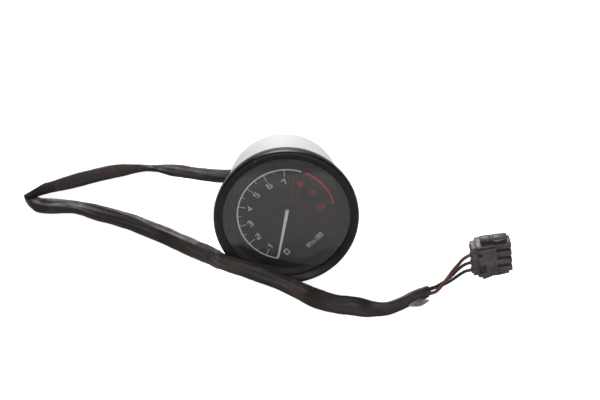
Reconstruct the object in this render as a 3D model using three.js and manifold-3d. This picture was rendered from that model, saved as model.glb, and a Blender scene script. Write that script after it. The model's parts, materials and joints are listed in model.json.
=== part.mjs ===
// A motorcycle tachometer lying on its side, with its sleeved three-wire harness and connector.
// Millimetres, +Z up, origin on the ground below the middle of the gauge.
// The gauge is drawn in its own dial frame: +Z towards the reader, +Y the dial's twelve o'clock,
// and z = 0 at the front of the bezel's lip.
import * as THREE from "three";
import { mergeVertices } from "three/addons/utils/BufferGeometryUtils.js";
import Module from "manifold-3d";

const wasm = await Module();
wasm.setup();

// ---- Driving dimensions -------------------------------------------------------------------
const GAP = 0.3; // between touching pieces

const BEZEL_R = 48;
const BEZEL_RIM_Z = -5.6; // rear edge of the bezel's widest band
const LIP_OPENING_R = 42;
const SEAT_R = 44.6; // lens, gasket, well, seal and cup flange all share this radius
const BEZEL_SEAT_R = SEAT_R + GAP;

const LENS = { front: -2.2, back: -3.8 };
const GASKET = { front: -4.1, back: -4.7, inner: 42.5 };
const WELL = { rim: -4.1, front: -5.0, back: -7.0, frontR: 41.8, backR: 38.5 };
const DIAL = { front: -7.3, back: -8.1, hole: 2.2 };
const GUIDE = { front: -8.4, back: -11.4, r: 38.3, hole: 9 };
const SEAL = { front: -11.7, back: -12.3, inner: 43.2 };

const CUP_FLANGE = { front: -8.4, back: -11.4 };
const CUP_MOUTH_R = 38.6;
const CUP_LEDGE_Z = -11.7;
const CUP_FRONT_R = 40.2;
const CUP_REAR_R = 38;
const CUP_WALL = 1.8;
const CUP_REAR_Z = -58;
const REAR_WALL_T = 2.2;
const REAR_WALL_Z = CUP_REAR_Z + REAR_WALL_T;

const PILLAR = { ring: 31, r: 3, angles: [0, 120, 240] };
const PLATE = { front: -14, back: -16, r: 36.6 };
const MOVEMENT_Z = -26.5; // middle of the crossed-coil movement
const SPINDLE_R = 0.6;
const SPINDLE = { front: -6.5, back: -32.2 };
const BOBBIN = { r: 9, half: 5.9, cavityR: 6, wall: 2 };
const COIL = { width: 6, thick: 1.5 };
const CAN = { inner: 12.2, wall: 0.7, front: -16.3, back: -38 };
const BOARD = { front: -42, back: -43.6, r: 33 };

const POINTER = { tail: 4.2, tip: 31.3, tailWidth: 2.3, tipWidth: 1.2, front: -5.1, back: -5.9 };
const POINTER_REST_DEG = 214.4; // in the dial frame, counted from three o'clock
const HUB = { r: 6.2, front: -6.2, back: -6.6 };
const STOP_PIN = { r: 0.7, ring: 16.7, angle: -61, front: -5.3 };

const STUDS = [[22, -10], [-22, -10]];
const STUD_TIP_Z = -71.66;
const BULBS = [[0, 20], [0, -22]];
const CABLE_EXIT = [-15.6, 8.5];
const SPACERS = [[14, -12.5], [-14, -12.5]];

const DIAL_ROLL_DEG = 45; // the gauge has rolled over to the left where it lies
const REST_DROP = BEZEL_R - CUP_REAR_R;
const REST_TILT = Math.atan2(REST_DROP, BEZEL_RIM_Z - CUP_REAR_Z); // lies on bezel and cup
const LIP_HEIGHT = BEZEL_R * Math.cos(REST_TILT) - BEZEL_RIM_Z * Math.sin(REST_TILT);
const BASE_Y = 32; // the origin lies this far behind the middle of the lip

const SLEEVE_R = 4; // before the sleeve is flattened
const WIRE_R = 1.15;
// The sleeve's route along the ground, in the part's frame: out of the gauge, back and left,
// round the fold, then below the rim and past the front of the bezel.
const SLEEVE_ROUTE = [
  [-17, 30.8, 31.3], [-17.6, 37, 30.1], [-20, 45, 28], [-28, 55.2, 25], [-42, 63.3, 19.8],
  [-60, 75.8, 14], [-79, 90, 8.5], [-97, 98.3, 5.4], [-116, 96.3, 5], [-136, 89.6, 5],
  [-155, 81.2, 5], [-166.5, 76, 5.2], [-177.5, 70.3, 5.4], [-180.6, 63, 5.4], [-175, 55.2, 5.4],
  [-165.5, 52, 5.2], [-148, 51, 5], [-128, 42, 5], [-108, 31, 5], [-83, 13.5, 5], [-63, -3, 5.4],
  [-50.5, -18.5, 9.8], [-47.6, -27, 14.2], [-45.5, -35, 18.6], [-42.5, -41.2, 21.6],
  [-36.5, -44.2, 21], [-28, -46.2, 18.7], [-16, -48.4, 14.6], [-4, -50.8, 10.3], [8, -55.4, 6.8],
  [20, -63.2, 5.2], [32.5, -68.6, 5], [45, -71.4, 4.9], [54, -74.2, 4.9], [64, -73.8, 4.8],
  [73, -69.3, 4.8], [81.5, -63.4, 4.8], [92, -57.2, 4.8],
];
const WIRE_ROUTES = {
  wire_brown: [
    [93.3, -58.5, 3.8], [98.4, -57, 5.1], [104, -52.3, 8.9], [109, -46, 11.6],
    [113.4, -42.3, 14.6], [117.4, -39.5, 17.6], [122.4, -37.9, 19.9],
  ],
  wire_black: [
    [92.5, -57, 6.7], [98, -54, 6.3], [104, -49, 6.3], [109.8, -43.7, 7.6], [114.4, -40.8, 10.4],
    [118.7, -39, 12.7], [123.2, -37.9, 13.6],
  ],
  wire_grey: [
    [91.4, -55.5, 4.2], [97, -52, 3.6], [103.5, -48.4, 3.4], [110.3, -43.6, 3.9], [114.9, -41, 5.6],
    [119.3, -38.7, 6.8], [124, -37.9, 7.3],
  ],
};

const CONNECTOR = {
  place: [123.1, -37.9, 16.8],
  pitchDeg: 7,
  yawDeg: 3,
  pitch: 6.35, // between cavities
  collar: { from: 0, to: 3, tall: 22.6, deep: 10 },
  body: { to: 15.6, tall: 24.8, deep: 12 },
  silo: { to: 26.4, tall: 4.2, deep: 10.4 },
  cavity: 3.2,
  wireHoleR: 1.5,
};
const TERMINAL = { barrelR: 1, barrelTo: 9, blade: 2.4, bladeTo: 23 };
const WIRED_CAVITIES = [0.5, -0.5, -1.5]; // in steps of the pitch from the middle
const LATCH = { from: 6.3, pivot: 14, to: 24.4, foot: 12.7, under: 13.6, top: 15.9, deep: 5 };
const LOCK = { from: 4, to: 15.9, top: 11, bottom: -9.5, near: 7.6, far: 6.3 };

// ---- Materials ----------------------------------------------------------------------------
function paint(color, roughness, metalness = 0) {
  return new THREE.MeshStandardMaterial({ color, roughness, metalness });
}
const GLOSS_BLACK = paint(0x0b0b0c, 0.22);
const MATT_BLACK = paint(0x131314, 0.7);
const CLEAR = new THREE.MeshStandardMaterial({
  color: 0xdfe6ea,
  roughness: 0.05,
  transparent: true,
  opacity: 0.3,
});
const RUBBER = paint(0x17171a, 0.85);
const PALE_PLASTIC = paint(0xeeece6, 0.5);
const CREAM = paint(0xe6e0d2, 0.5);
const STEEL = paint(0x9a9c9f, 0.35, 0.9);
const BRASS = paint(0xb8923f, 0.35, 0.9);
const COPPER = paint(0x9c4a22, 0.4, 0.8);
const MAGNET = paint(0x3a3a3e, 0.6, 0.3);
const NATURAL_PLASTIC = paint(0xcfc8b4, 0.55);
const BOARD_GREEN = paint(0x2f6a3d, 0.5);
const CHIP_BLACK = paint(0x1c1c1e, 0.6);
const BLUE_CASE = paint(0x2a3f77, 0.4);
const RESISTOR_TAN = paint(0xcdb48a, 0.6);
const SLEEVE_BLACK = paint(0x1b1716, 0.45);
const WIRE_BROWN = paint(0x5f3527, 0.5);
const WIRE_BLACK = paint(0x1f1b1a, 0.5);
const WIRE_GREY = paint(0x2b2f2b, 0.5);
const CONNECTOR_BLACK = paint(0x222124, 0.65);

// ---- Shapes -------------------------------------------------------------------------------
const RING_STEPS = 60;
const SMALL_STEPS = 16;

// A profile of [radius, z] points turned about the Z axis, whichever way round it is listed.
function turned(profile, steps = RING_STEPS) {
  const points = profile.map(([r, z]) => new THREE.Vector2(r, z));
  if (!points[0].equals(points.at(-1)) && points[0].x > 0) {
    points.push(points[0].clone());
  }
  if (THREE.ShapeUtils.area(points) < 0) {
    points.reverse();
  }
  return new THREE.LatheGeometry(points, steps).rotateX(Math.PI / 2);
}

function disc(r, back, front, steps = RING_STEPS) {
  return turned([[0, back], [r, back], [r, front], [0, front]], steps);
}

function ring(inner, outer, back, front, steps = RING_STEPS) {
  return turned([[inner, back], [outer, back], [outer, front], [inner, front]], steps);
}

function block(low, high) {
  const size = high.map((v, i) => v - low[i]);
  const middle = high.map((v, i) => (v + low[i]) / 2);
  return new THREE.BoxGeometry(...size).translate(...middle);
}

// A flat outline of [x, y] points, thickened along Z.
function slab(outline, back, front) {
  const shape = new THREE.Shape(outline.map(([x, y]) => new THREE.Vector2(x, y)));
  const depth = front - back;
  return new THREE.ExtrudeGeometry(shape, { depth, bevelEnabled: false }).translate(0, 0, back);
}

function roundBarX(r, from, to, steps = 12) {
  return new THREE.CylinderGeometry(r, r, to - from, steps)
    .rotateZ(Math.PI / 2)
    .translate((from + to) / 2, 0, 0);
}

function toSolid(geometry) {
  const bare = geometry.clone();
  bare.deleteAttribute("normal");
  bare.deleteAttribute("uv");
  const merged = mergeVertices(bare, 1e-4);
  return new wasm.Manifold(
    new wasm.Mesh({
      numProp: 3,
      vertProperties: merged.attributes.position.array,
      triVerts: new Uint32Array(merged.index.array),
    }),
  );
}

function toGeometry(solid) {
  const mesh = solid.getMesh();
  return new THREE.BufferGeometry()
    .setAttribute("position", new THREE.BufferAttribute(mesh.vertProperties, 3))
    .setIndex(new THREE.BufferAttribute(mesh.triVerts, 1));
}

function cut(base, ...tools) {
  return toGeometry(tools.reduce((solid, tool) => solid.subtract(toSolid(tool)), toSolid(base)));
}

function join(base, ...more) {
  return toGeometry(more.reduce((solid, one) => solid.add(toSolid(one)), toSolid(base)));
}

function piece(group, name, geometry, material) {
  const mesh = new THREE.Mesh(geometry, material);
  mesh.name = name;
  group.add(mesh);
  return mesh;
}

function polar(r, degrees) {
  const angle = THREE.MathUtils.degToRad(degrees);
  return [r * Math.cos(angle), r * Math.sin(angle)];
}

// A plain round tube along hand-placed points.
function tube(points, r, sides, steps) {
  const extrudePath = new THREE.CatmullRomCurve3(points.map((p) => new THREE.Vector3(...p)));
  const corners = Array.from({ length: sides }, (_, i) => polar(r, (360 * i) / sides));
  const section = new THREE.Shape(corners.map(([x, y]) => new THREE.Vector2(x, y)));
  return new THREE.ExtrudeGeometry(section, { steps, extrudePath });
}

// ---- Gauge --------------------------------------------------------------------------------
function bezelRing() {
  const rearCurlR = 42.9;
  return turned([
    [LIP_OPENING_R, -1.9], [LIP_OPENING_R, -1.5], [45.7, -0.1], [46.4, 0], [47.3, -0.5],
    [47.8, -1.4], [BEZEL_R, -2.6], [BEZEL_R, BEZEL_RIM_Z], [47.3, -7.6], [46.3, -9.6],
    [45.9, -13.2], [45.3, -13.6], [rearCurlR, -13.6], [rearCurlR, -12.6],
    [BEZEL_SEAT_R, -12.6], [BEZEL_SEAT_R, -1.9],
  ]);
}

function dialWell() {
  const rimR = GASKET.inner - GAP;
  return turned([
    [WELL.backR, WELL.back], [SEAT_R, WELL.back], [SEAT_R, WELL.front], [rimR, WELL.front],
    [rimR, WELL.rim], [WELL.frontR, WELL.rim],
  ]);
}

function housingCup() {
  const insideFrontR = CUP_FRONT_R - CUP_WALL - 0.8;
  const insideRearR = CUP_REAR_R - CUP_WALL;
  const shell = turned([
    [0, CUP_REAR_Z], [CUP_REAR_R - 1.6, CUP_REAR_Z], [CUP_REAR_R - 0.4, CUP_REAR_Z + 0.5],
    [CUP_REAR_R, CUP_REAR_Z + 1.8], [CUP_FRONT_R, -14], [41.4, -12], [41.4, CUP_FLANGE.back],
    [SEAT_R, CUP_FLANGE.back], [SEAT_R, CUP_FLANGE.front], [CUP_MOUTH_R, CUP_FLANGE.front],
    [CUP_MOUTH_R, CUP_LEDGE_Z], [insideFrontR, CUP_LEDGE_Z], [insideRearR, REAR_WALL_Z],
    [0, REAR_WALL_Z],
  ], 48);
  const pillars = PILLAR.angles.map((angle) =>
    disc(PILLAR.r, REAR_WALL_Z - 1, PLATE.back - GAP, 12).translate(...polar(PILLAR.ring, angle), 0),
  );
  const screwHoles = PILLAR.angles.map((angle) =>
    disc(1.7, PLATE.back - 9, PLATE.back, 8).translate(...polar(PILLAR.ring, angle), 0),
  );
  const throughHole = (r, place) =>
    disc(r, CUP_REAR_Z - 1, REAR_WALL_Z + 1, SMALL_STEPS).translate(...place, 0);
  const rearHoles = [
    ...STUDS.map((place) => throughHole(3, place)),
    ...BULBS.map((place) => throughHole(6.4, place)),
    throughHole(6.4, CABLE_EXIT),
  ];
  return cut(join(shell, ...pillars), ...screwHoles, ...rearHoles);
}

function addCase(gauge) {
  piece(gauge, "bezel_ring", bezelRing(), GLOSS_BLACK);
  piece(gauge, "lens", disc(SEAT_R, LENS.back, LENS.front, 48), CLEAR);
  const gasket = ring(GASKET.inner, SEAT_R, GASKET.back, GASKET.front, 48);
  piece(gauge, "lens_gasket", gasket, RUBBER);
  piece(gauge, "dial_well", dialWell(), MATT_BLACK);
  const dial = ring(DIAL.hole, SEAT_R, DIAL.back, DIAL.front, 48);
  piece(gauge, "dial_plate", dial, MATT_BLACK);
  const guide = ring(GUIDE.hole, GUIDE.r, GUIDE.back, GUIDE.front, 40);
  piece(gauge, "light_guide", guide, CLEAR);
  piece(gauge, "case_seal", ring(SEAL.inner, SEAT_R, SEAL.back, SEAL.front, 48), RUBBER);
  piece(gauge, "housing_cup", housingCup(), PALE_PLASTIC);
}

function addPointer(gauge) {
  const { tail, tip, tailWidth, tipWidth } = POINTER;
  const outline = [
    [-tail, -tailWidth / 2], [tip - 0.6, -tipWidth / 2], [tip, -tipWidth / 5],
    [tip, tipWidth / 5], [tip - 0.6, tipWidth / 2], [-tail, tailWidth / 2],
  ];
  const bar = piece(gauge, "pointer_bar", slab(outline, POINTER.back, POINTER.front), CREAM);
  bar.rotation.z = THREE.MathUtils.degToRad(POINTER_REST_DEG);

  const boss = { r: 1.7, bore: 0.9, back: -7.15 };
  const hub = turned([
    [0, -6.35], [boss.bore, -6.35], [boss.bore, boss.back], [boss.r, boss.back],
    [boss.r, HUB.back], [HUB.r, HUB.back], [HUB.r, HUB.front - 0.1], [HUB.r - 0.3, HUB.front],
    [0, HUB.front],
  ], 32);
  piece(gauge, "pointer_hub", hub, GLOSS_BLACK);
  piece(gauge, "spindle", disc(SPINDLE_R, SPINDLE.back, SPINDLE.front, 10), STEEL);
  const magnet = ring(SPINDLE_R + GAP, 5, MOVEMENT_Z - 2.5, MOVEMENT_Z + 2.5, 20);
  piece(gauge, "rotor_magnet", magnet, MAGNET);
  piece(gauge, "hairspring_collet", ring(SPINDLE_R + GAP, 1.7, -10.9, -9.3, 12), BRASS);

  const pin = disc(STOP_PIN.r, DIAL.front + GAP, STOP_PIN.front, 10);
  pin.translate(...polar(STOP_PIN.ring, STOP_PIN.angle), 0);
  piece(gauge, "pointer_stop", pin, MATT_BLACK);
}

// A flat spiral strip from the collet out to the post on the movement plate.
function hairspring() {
  const innerR = 2.2;
  const outerR = 6.4;
  const turns = 3;
  const strip = 0.35;
  const steps = 16 * turns;
  const edge = (offset) =>
    Array.from({ length: steps + 1 }, (_, i) =>
      polar(innerR + ((outerR - innerR) * i) / steps + offset, (360 * turns * i) / steps),
    );
  return slab([...edge(0), ...edge(strip).reverse()], -10.5, -9.7);
}

function movementPlate() {
  const base = disc(PLATE.r, PLATE.back, PLATE.front, 40);
  const post = disc(0.8, PLATE.front - 0.5, -9.3, 8).translate(7.9, 0, 0);
  const screwHoles = PILLAR.angles.map((angle) =>
    disc(1.8, PLATE.back - 1, PLATE.front + 1, 10).translate(...polar(PILLAR.ring, angle), 0),
  );
  const windows = BULBS.map((place) =>
    disc(6, PLATE.back - 1, PLATE.front + 1, SMALL_STEPS).translate(...place, 0),
  );
  const bushHole = disc(3, PLATE.back - 1, PLATE.front + 1, SMALL_STEPS);
  return cut(join(base, post), bushHole, ...screwHoles, ...windows);
}

// Half of the coil former: a cup that opens towards the middle of the movement.
function bobbinHalf(side, holeR) {
  const inner = MOVEMENT_Z + side * GAP / 2;
  const outer = MOVEMENT_Z + side * BOBBIN.half;
  const floor = outer - side * BOBBIN.wall;
  return turned([
    [holeR, outer], [BOBBIN.r, outer], [BOBBIN.r, inner], [BOBBIN.cavityR, inner],
    [BOBBIN.cavityR, floor], [holeR, floor],
  ], 24);
}

// A flat winding round the coil former, drilled for the spindle where it crosses the ends.
function coil(insideR, insideHalf) {
  const t = COIL.thick;
  const w = COIL.width / 2;
  const low = [-insideR - t, -w, MOVEMENT_Z - insideHalf - t];
  const high = [insideR + t, w, MOVEMENT_Z + insideHalf + t];
  const hollow = block(
    [-insideR, -w - 1, MOVEMENT_Z - insideHalf],
    [insideR, w + 1, MOVEMENT_Z + insideHalf],
  );
  return cut(block(low, high), hollow, disc(2, low[2] - 1, high[2] + 1, 10));
}

function shieldCan() {
  const outer = CAN.inner + CAN.wall;
  return turned([
    [0, CAN.back], [outer, CAN.back], [outer, CAN.front], [CAN.inner, CAN.front],
    [CAN.inner, CAN.back + CAN.wall], [0, CAN.back + CAN.wall],
  ], 28);
}

// A pan-headed screw along Z, with its head's underside at the given height.
function screw(headR, headT, shankR, underHead, tip, towards = 1) {
  const top = underHead + towards * headT;
  return turned([
    [0, tip], [shankR, tip], [shankR, underHead], [headR, underHead],
    [headR, top - towards * 0.4], [headR - 0.5, top], [0, top],
  ], 12);
}

function addMovement(gauge) {
  piece(gauge, "hairspring", hairspring(), BRASS);
  piece(gauge, "movement_plate", movementPlate(), NATURAL_PLASTIC);
  piece(gauge, "front_bush", ring(0.75, 2.7, PLATE.back + 0.1, PLATE.front - 0.1, 12), BRASS);
  piece(gauge, "bobbin_front", bobbinHalf(1, 1.6), NATURAL_PLASTIC);
  piece(gauge, "bobbin_rear", bobbinHalf(-1, 2), NATURAL_PLASTIC);
  const rearBushFront = MOVEMENT_Z - BOBBIN.half + BOBBIN.wall;
  piece(gauge, "rear_bush", ring(0.75, 1.7, rearBushFront - 1.8, rearBushFront, 12), BRASS);
  piece(gauge, "coil_x", coil(BOBBIN.r + GAP, BOBBIN.half + GAP), COPPER);
  const outerHalf = BOBBIN.half + COIL.thick + 2 * GAP;
  const coilY = piece(gauge, "coil_y", coil(BOBBIN.r + GAP, outerHalf), COPPER);
  coilY.rotation.z = Math.PI / 2;
  piece(gauge, "shield_can", shieldCan(), STEEL);
  PILLAR.angles.forEach((angle, i) => {
    const fixing = screw(2.8, 1.5, 1.4, PLATE.front + GAP, PLATE.back - 7);
    fixing.translate(...polar(PILLAR.ring, angle), 0);
    piece(gauge, `movement_screw_${i + 1}`, fixing, STEEL);
  });
}

function circuitBoard() {
  const hole = (r, place) =>
    disc(r, BOARD.back - 1, BOARD.front + 1, SMALL_STEPS).translate(...place, 0);
  return cut(
    disc(BOARD.r, BOARD.back, BOARD.front, 36),
    ...PILLAR.angles.map((angle) => hole(3.8, polar(PILLAR.ring, angle))),
    ...BULBS.map((place) => hole(7.2, place)),
    ...SPACERS.map((place) => hole(1.6, place)),
  );
}

function addElectronics(gauge) {
  piece(gauge, "circuit_board", circuitBoard(), BOARD_GREEN);
  const onFront = BOARD.front + GAP;
  const onBack = BOARD.back - GAP;
  piece(gauge, "driver_chip", block([11, 4, onFront], [21, 11, onFront + 2.3]), CHIP_BLACK);
  const can = disc(4, onBack - 10, onBack, SMALL_STEPS).translate(16, 13, 0);
  piece(gauge, "capacitor", can, BLUE_CASE);
  const resistor = roundBarX(1.2, -21, -13.5, 10).translate(0, 18, onFront + 1.2);
  piece(gauge, "resistor", resistor, RESISTOR_TAN);
  SPACERS.forEach((place, i) => {
    const spacer = ring(1.7, 2.5, onFront, PLATE.back - GAP, 12).translate(...place, 0);
    piece(gauge, `board_spacer_${i + 1}`, spacer, BRASS);
    const fixing = screw(2.7, 1.5, 1.3, onBack, onFront + 8, -1).translate(...place, 0);
    piece(gauge, `board_screw_${i + 1}`, fixing, STEEL);
  });
  [WIRE_BROWN, WIRE_BLACK, WIRE_GREY].forEach((colour, i) => {
    const [x, y] = CABLE_EXIT;
    const side = (i - 1) * 3;
    const lead = tube(
      [[x + 3, y + side, onBack], [x + 2.4, y + side, -46.5], [x, y + side, -50], [x, y + side, -53.2]],
      0.9, 8, 6,
    );
    piece(gauge, `board_lead_${i + 1}`, lead, colour);
  });
  BULBS.forEach((place, i) => {
    const glass = turned([
      [0, -46.7], [3.4, -46.7], [4.2, -45], [4.2, -40.4], [3.2, -38.4], [1.6, -37.4], [0, -37.1],
    ], 14);
    piece(gauge, `bulb_${i + 1}`, glass.translate(...place, 0), CLEAR);
    const holder = turned([
      [0, -64], [4.6, -64], [5, -63.6], [5, -60.3], [8, -60.3], [8, CUP_REAR_Z - GAP],
      [6, CUP_REAR_Z - GAP], [6, -48], [5.4, -47], [0, -47],
    ], SMALL_STEPS);
    piece(gauge, `bulb_holder_${i + 1}`, holder.translate(...place, 0), CHIP_BLACK);
  });
}

// A hexagon nut with a broad flange, its flange towards the gauge.
function flangeNut(acrossFlats, flangeR, hole, back, front) {
  const corners = Array.from({ length: 6 }, (_, i) => polar(acrossFlats / Math.sqrt(3), 60 * i));
  const flange = disc(flangeR, front - 1.3, front, 20);
  return cut(join(slab(corners, back, front - 0.5), flange), disc(hole, back - 1, front + 1, 12));
}

function addFixings(gauge) {
  STUDS.forEach((place, i) => {
    const side = i + 1;
    const put = (name, shape, material) =>
      piece(gauge, `${name}_${side}`, shape.translate(...place, 0), material);
    const stud = turned([
      [0, STUD_TIP_Z], [2, STUD_TIP_Z], [2.5, STUD_TIP_Z + 0.6], [2.5, REAR_WALL_Z + GAP],
      [5, REAR_WALL_Z + GAP], [5, -53], [0, -53],
    ], 14);
    put("mount_stud", stud, STEEL);
    put("mount_bush", ring(3, 8, -63.4, CUP_REAR_Z - GAP, 20), RUBBER);
    put("mount_nut", flangeNut(8, 7.2, 2.8, -69, -63.7), STEEL);
  });
}

function cableGrommet() {
  return turned([
    [0, -63.7], [6.2, -63.7], [7, -60.6], [8.4, -60.2], [8.4, CUP_REAR_Z - GAP],
    [6.1, CUP_REAR_Z - GAP], [6.1, REAR_WALL_Z + GAP], [7.4, REAR_WALL_Z + GAP],
    [7.4, -53.5], [0, -53.5],
  ], 20).translate(...CABLE_EXIT, 0);
}

// ---- Harness ------------------------------------------------------------------------------
function cavityHeights() {
  return [1.5, 0.5, -0.5, -1.5].map((n) => n * CONNECTOR.pitch);
}

function connectorHousing() {
  const { collar, body, silo, cavity, wireHoleR } = CONNECTOR;
  const solid = join(
    block([collar.from, -collar.deep / 2, -collar.tall / 2], [collar.to, collar.deep / 2, collar.tall / 2]),
    block([collar.to, -body.deep / 2, -body.tall / 2], [body.to, body.deep / 2, body.tall / 2]),
    block([LATCH.pivot - 1, -2.5, -LATCH.foot + GAP / 2], [LATCH.pivot + 1, 2.5, LATCH.foot - GAP / 2]),
    ...cavityHeights().map((z) =>
      block([body.to - 1, -silo.deep / 2, z - silo.tall / 2], [silo.to, silo.deep / 2, z + silo.tall / 2]),
    ),
  );
  const half = cavity / 2;
  const bores = cavityHeights().flatMap((z) => [
    block([8, -half, z - half], [silo.to + 1, half, z + half]),
    roundBarX(wireHoleR, -1, 9, 12).translate(0, 0, z),
  ]);
  return cut(solid, ...bores);
}

// The plate on the broad side that locks the terminals in; two notches show its travel.
function terminalLock() {
  const { from, to, top, bottom, near, far } = LOCK;
  const outline = [
    [from, top], [from, 8], [from + 2.3, 8], [from + 2.3, 5.4], [from, 5.4], [from, -2.2],
    [from + 4.5, -2.2], [from + 4.5, bottom], [to, bottom], [to, top],
  ];
  return slab(outline, far, near).rotateX(Math.PI / 2);
}

// A rocker arm over one end of the row: grip, foot in the middle and a hooked nose.
function latchArm(side) {
  const { from, pivot, to, foot, under, top, deep } = LATCH;
  const flare = side < 0 ? 1.3 : 0;
  const outline = [
    [from, under + flare], [pivot - 0.9, under], [pivot - 0.9, foot + GAP / 2],
    [pivot + 0.9, foot + GAP / 2], [pivot + 0.9, under], [to - 2, under], [to - 1.6, foot],
    [to, foot + 0.4], [to, top - 0.8], [pivot + 1.6, top], [pivot + 0.6, top - 0.7],
    [pivot - 0.6, top - 0.7], [pivot - 1.6, top], [from, top + flare],
  ].map(([x, z]) => [x, side * z]);
  if (side < 0) {
    outline.reverse();
  }
  return slab(outline, -deep / 2, deep / 2).rotateX(Math.PI / 2);
}

function terminal(z) {
  const blade = TERMINAL.blade / 2;
  return join(
    roundBarX(TERMINAL.barrelR, GAP, TERMINAL.barrelTo, 8),
    block([TERMINAL.barrelTo - 0.5, -blade, -blade], [TERMINAL.bladeTo, blade, blade]),
  ).translate(0, 0, z);
}

function addConnector(harness) {
  const connector = new THREE.Group();
  connector.position.set(...CONNECTOR.place);
  connector.rotation.set(
    0,
    -THREE.MathUtils.degToRad(CONNECTOR.pitchDeg),
    THREE.MathUtils.degToRad(CONNECTOR.yawDeg),
    "ZYX",
  );
  harness.add(connector);
  piece(connector, "connector_housing", connectorHousing(), CONNECTOR_BLACK);
  piece(connector, "terminal_lock", terminalLock(), CONNECTOR_BLACK);
  piece(connector, "latch_arm_upper", latchArm(1), CONNECTOR_BLACK);
  piece(connector, "latch_arm_lower", latchArm(-1), CONNECTOR_BLACK);
  WIRED_CAVITIES.forEach((n, i) => {
    piece(connector, `terminal_${i + 1}`, terminal(n * CONNECTOR.pitch), BRASS);
  });
}

function addHarness(harness) {
  piece(harness, "harness_sleeve", tube(SLEEVE_ROUTE, SLEEVE_R, 10, 72), SLEEVE_BLACK);
  const colours = { wire_brown: WIRE_BROWN, wire_black: WIRE_BLACK, wire_grey: WIRE_GREY };
  for (const [name, route] of Object.entries(WIRE_ROUTES)) {
    piece(harness, name, tube(route, WIRE_R, 8, 12), colours[name]);
  }
  addConnector(harness);
}

// ---- Assembly -----------------------------------------------------------------------------
const assembly = new THREE.Group();

const gauge = new THREE.Group();
gauge.position.set(0, -BASE_Y, LIP_HEIGHT);
gauge.rotation.set(
  Math.PI / 2 - REST_TILT,
  0,
  THREE.MathUtils.degToRad(DIAL_ROLL_DEG),
  "XYZ",
);
assembly.add(gauge);
addCase(gauge);
addPointer(gauge);
addMovement(gauge);
addElectronics(gauge);
addFixings(gauge);
piece(gauge, "cable_grommet", cableGrommet(), RUBBER);

const harness = new THREE.Group();
assembly.add(harness);
addHarness(harness);

export default assembly;
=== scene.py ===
import json
import math

import bmesh
import bpy
from mathutils import Matrix, Vector, noise


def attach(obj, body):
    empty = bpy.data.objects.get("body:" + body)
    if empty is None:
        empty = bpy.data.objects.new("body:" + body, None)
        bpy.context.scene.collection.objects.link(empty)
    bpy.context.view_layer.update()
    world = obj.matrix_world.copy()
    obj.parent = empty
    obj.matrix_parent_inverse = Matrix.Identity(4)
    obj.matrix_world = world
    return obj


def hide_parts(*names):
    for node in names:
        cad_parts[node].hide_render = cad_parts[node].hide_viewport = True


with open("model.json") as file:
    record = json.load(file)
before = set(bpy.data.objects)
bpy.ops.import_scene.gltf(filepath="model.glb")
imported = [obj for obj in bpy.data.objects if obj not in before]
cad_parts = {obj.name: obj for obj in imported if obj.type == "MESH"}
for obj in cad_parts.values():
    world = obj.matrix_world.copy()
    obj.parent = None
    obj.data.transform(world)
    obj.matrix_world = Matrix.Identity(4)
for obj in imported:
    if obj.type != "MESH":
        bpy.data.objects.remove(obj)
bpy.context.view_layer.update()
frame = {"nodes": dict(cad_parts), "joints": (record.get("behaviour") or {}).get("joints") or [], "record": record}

MM = 0.001

# ---- The two frames everything is built in, both in millimetres ---------------------------
SWEEP = next(j for j in frame["joints"] if j["name"] == "pointer_sweep")
OUT_OF_DIAL = -Vector(SWEEP["axis"])
UP_DIAL = OUT_OF_DIAL.cross(Vector((1, 0, 0)))
HUB_DEPTH = 7.0  # the joint's point lies this far behind the front of the lip
LIP = Vector(SWEEP["pos_m"]) + OUT_OF_DIAL * HUB_DEPTH * MM
ROLL = math.radians(45)


def frame_matrix(x_axis, y_axis, z_axis, at):
    m = Matrix((x_axis, y_axis, z_axis)).transposed().to_4x4()
    return Matrix.Translation(at) @ m @ Matrix.Scale(MM, 4)


_X = Vector((1, 0, 0))
DIAL_FRAME = frame_matrix(
    _X * math.cos(ROLL) + UP_DIAL * math.sin(ROLL),
    -_X * math.sin(ROLL) + UP_DIAL * math.cos(ROLL),
    OUT_OF_DIAL,
    LIP,
)
PLUG_AT = Vector((123.1, -37.9, 16.8)) * MM
PLUG_FRAME = (
    Matrix.Translation(PLUG_AT)
    @ Matrix.Rotation(math.radians(3), 4, "Z")
    @ Matrix.Rotation(math.radians(-7), 4, "Y")
    @ Matrix.Scale(MM, 4)
)
WORLD_MM = Matrix.Scale(MM, 4)

# ---- Camera -------------------------------------------------------------------------------
VIEW_FROM = Vector((-0.0287, -0.9300, 0.6828))
VIEW_ALONG = Vector((0.0344, 0.82266, -0.56749)).normalized()
camera_data = bpy.data.cameras.new("camera")
camera_data.lens = 100.5
camera_data.sensor_width = 36
camera = bpy.data.objects.new("camera", camera_data)
camera.location = VIEW_FROM
camera.rotation_mode = "QUATERNION"
camera.rotation_quaternion = VIEW_ALONG.to_track_quat("-Z", "Y")
bpy.context.scene.collection.objects.link(camera)
bpy.context.scene.camera = camera


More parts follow.
